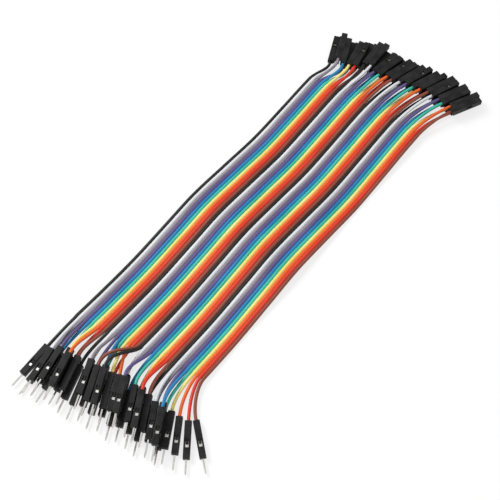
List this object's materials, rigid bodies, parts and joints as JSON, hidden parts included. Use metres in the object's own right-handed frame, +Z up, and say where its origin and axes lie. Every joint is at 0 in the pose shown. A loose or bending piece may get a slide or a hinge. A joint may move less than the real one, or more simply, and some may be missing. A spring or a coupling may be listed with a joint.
{
  "type": "breadboard jumper wire",
  "caption": "Rainbow ribbon of bonded jumper wires, fanned out at both ends into single black connectors: square pins at one end, sockets at the other.",
  "frame": {"origin": "on the table, under the middle of the box round all the connectors", "axes": "+Y along the ribbon from the pin end to the socket end, +X across it from the first wire (black) to the last (brown), +Z up off the table"},
  "size_m": [0.085, 0.2218, 0.0082],
  "materials": {
    "black_housing": "moulded satin",
    "rainbow_pvc": "extruded, soft satin"
  },
  "bodies": {
    "root": {"female_connectors_01_02": "black_housing", "female_connectors_03_05": "black_housing", "female_connectors_04_06": "black_housing", "female_connectors_07_09": "black_housing", "female_connectors_08_10": "black_housing", "female_connectors_11_12": "black_housing", "female_connectors_13_15": "black_housing", "female_connectors_14_16": "black_housing", "female_connectors_17_19": "black_housing", "female_connectors_18_20": "black_housing", "female_connectors_21_23": "black_housing", "female_connectors_22_24": "black_housing", "female_connectors_25_27": "black_housing", "female_connectors_26_28": "black_housing", "female_connectors_29_31": "black_housing", "female_connectors_30_32": "black_housing", "female_connectors_33_35": "black_housing", "female_connectors_34_36": "black_housing", "female_connectors_37_39": "black_housing", "female_connectors_38_40": "black_housing", "male_connector_01": "black_housing", "male_connector_02": "black_housing", "male_connector_03": "black_housing", "male_connector_04": "black_housing", "male_connector_05": "black_housing", "male_connector_06": "black_housing", "male_connector_07": "black_housing", "male_connector_08": "black_housing", "male_connector_09": "black_housing", "male_connector_10": "black_housing", "male_connector_11": "black_housing", "male_connector_12": "black_housing", "male_connector_13": "black_housing", "male_connector_14": "black_housing", "male_connector_15": "black_housing", "male_connector_16": "black_housing", "male_connector_17": "black_housing", "male_connector_18": "black_housing", "male_connector_19": "black_housing", "male_connector_20": "black_housing", "male_connector_21": "black_housing", "male_connector_22": "black_housing", "male_connector_23": "black_housing", "male_connector_24": "black_housing", "male_connector_25": "black_housing", "male_connector_26": "black_housing", "male_connector_27": "black_housing", "male_connector_28": "black_housing", "male_connector_29": "black_housing", "male_connector_30": "black_housing", "male_connector_31": "black_housing", "male_connector_32": "black_housing", "male_connector_33": "black_housing", "male_connector_34": "black_housing", "male_connector_35": "black_housing", "male_connector_38": "black_housing", "male_connector_39": "black_housing", "male_connector_40": "black_housing", "male_connectors_36_37": "black_housing", "ribbon_cable": "rainbow_pvc"}
  },
  "joints": []
}
